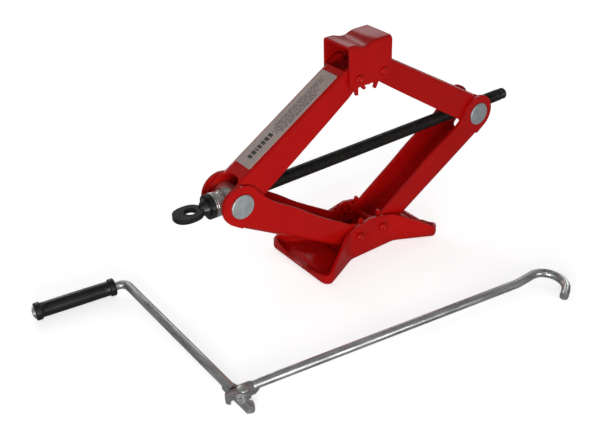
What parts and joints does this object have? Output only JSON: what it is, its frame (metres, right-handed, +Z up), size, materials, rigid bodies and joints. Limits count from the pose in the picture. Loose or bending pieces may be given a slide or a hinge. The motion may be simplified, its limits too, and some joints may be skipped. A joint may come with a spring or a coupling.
{
  "type": "scissor car jack",
  "caption": "Red pressed-steel scissor jack with geared arms, a threaded lead screw with a ring eye, a grooved saddle and a loose folding hook crank with a turning grip.",
  "frame": {"origin": "on the floor under the middle of the base, half way between its two rivets", "axes": "+X along the lead screw from its eye to its free end, +Z up, the loose crank on the -Y side"},
  "size_m": [0.5048, 0.2844, 0.2144],
  "materials": {
    "red_paint": "gloss",
    "zinc_steel": "zinc plated",
    "black_oxide": "black oxide, oiled",
    "label": "printed sticker",
    "black_plastic": "satin"
  },
  "bodies": {
    "base": {"base_pan": "red_paint", "base_rivet_left": "red_paint", "base_rivet_right": "red_paint"},
    "lower_left": {"lower_left_arm": "red_paint"},
    "lower_right": {"lower_right_arm": "red_paint"},
    "upper_left": {"upper_left_arm": "red_paint", "arm_label": "label"},
    "upper_right": {"upper_right_arm": "red_paint"},
    "saddle": {"saddle_head": "red_paint", "head_rivet_left": "red_paint", "head_rivet_right": "red_paint"},
    "left_trunnion": {"thrust_trunnion": "zinc_steel", "thrust_trunnion_cap_near": "zinc_steel", "thrust_trunnion_cap_far": "zinc_steel", "thrust_race_inner": "zinc_steel"},
    "right_trunnion": {"nut_trunnion": "zinc_steel", "nut_trunnion_cap_near": "zinc_steel", "nut_trunnion_cap_far": "zinc_steel"},
    "screw": {"lead_screw": "black_oxide", "thrust_ball_cage": "zinc_steel", "thrust_race_outer": "zinc_steel", "thrust_collar": "black_oxide", "screw_eye": "black_oxide"},
    "hook_rod": {"hook_rod": "zinc_steel"},
    "crank_arm": {"crank_arm": "zinc_steel", "crank_rivet": "zinc_steel", "grip_push_nut": "zinc_steel"},
    "grip": {"crank_grip": "black_plastic"}
  },
  "joints": [
    {"name": "lift", "type": "hinge", "parent": "base", "child": "lower_left", "pos_m": [-0.0143, 0, 0.0212], "axis": [0, 1, 0], "range_deg": [-25.3, 39.6]},
    {"name": "lower_right_pivot", "type": "hinge", "parent": "base", "child": "lower_right", "pos_m": [0.0143, 0, 0.0212], "axis": [0, -1, 0], "range_deg": [-25.3, 39.6]},
    {"name": "upper_left_pivot", "type": "hinge", "parent": "lower_left", "child": "upper_left", "pos_m": [-0.14205, 0, 0.10208], "axis": [0, -1, 0], "range_deg": [-50.6, 79.2]},
    {"name": "upper_right_pivot", "type": "hinge", "parent": "lower_right", "child": "upper_right", "pos_m": [0.14205, 0, 0.10208], "axis": [0, 1, 0], "range_deg": [-50.6, 79.2]},
    {"name": "saddle_pivot", "type": "hinge", "parent": "upper_left", "child": "saddle", "pos_m": [-0.0143, 0, 0.18297], "axis": [0, 1, 0], "range_deg": [-25.3, 39.6]},
    {"name": "left_trunnion_pivot", "type": "hinge", "parent": "lower_left", "child": "left_trunnion", "pos_m": [-0.14205, 0, 0.10208], "axis": [0, -1, 0], "range_deg": [-25.3, 39.6]},
    {"name": "right_trunnion_pivot", "type": "hinge", "parent": "lower_right", "child": "right_trunnion", "pos_m": [0.14205, 0, 0.10208], "axis": [0, 1, 0], "range_deg": [-25.3, 39.6]},
    {"name": "screw_spin", "type": "hinge", "parent": "left_trunnion", "child": "screw", "pos_m": [-0.14205, 0, 0.10208], "axis": [1, 0, 0], "continuous": true},
    {"name": "crank_lift", "type": "slide", "parent": "base", "child": "hook_rod", "axis": [-0.6, 0, 0.8], "range_m": [0, 0.3]},
    {"name": "crank_fold", "type": "hinge", "parent": "hook_rod", "child": "crank_arm", "pos_m": [-0.2148, -0.118, 0.004], "axis": [0, 0, 1], "range_deg": [-36, 0]},
    {"name": "grip_spin", "type": "hinge", "parent": "crank_arm", "child": "grip", "pos_m": [-0.266, 0.07522, 0.0084], "axis": [-0.9914, 0.1305, 0], "continuous": true}
  ],
  "couplings": [
    {"joint": "lower_right_pivot", "follows": "lift", "ratio": 1},
    {"joint": "upper_left_pivot", "follows": "lift", "ratio": 2},
    {"joint": "upper_right_pivot", "follows": "lift", "ratio": 2},
    {"joint": "saddle_pivot", "follows": "lift", "ratio": 1},
    {"joint": "left_trunnion_pivot", "follows": "lift", "ratio": 1},
    {"joint": "right_trunnion_pivot", "follows": "lift", "ratio": 1}
  ]
}
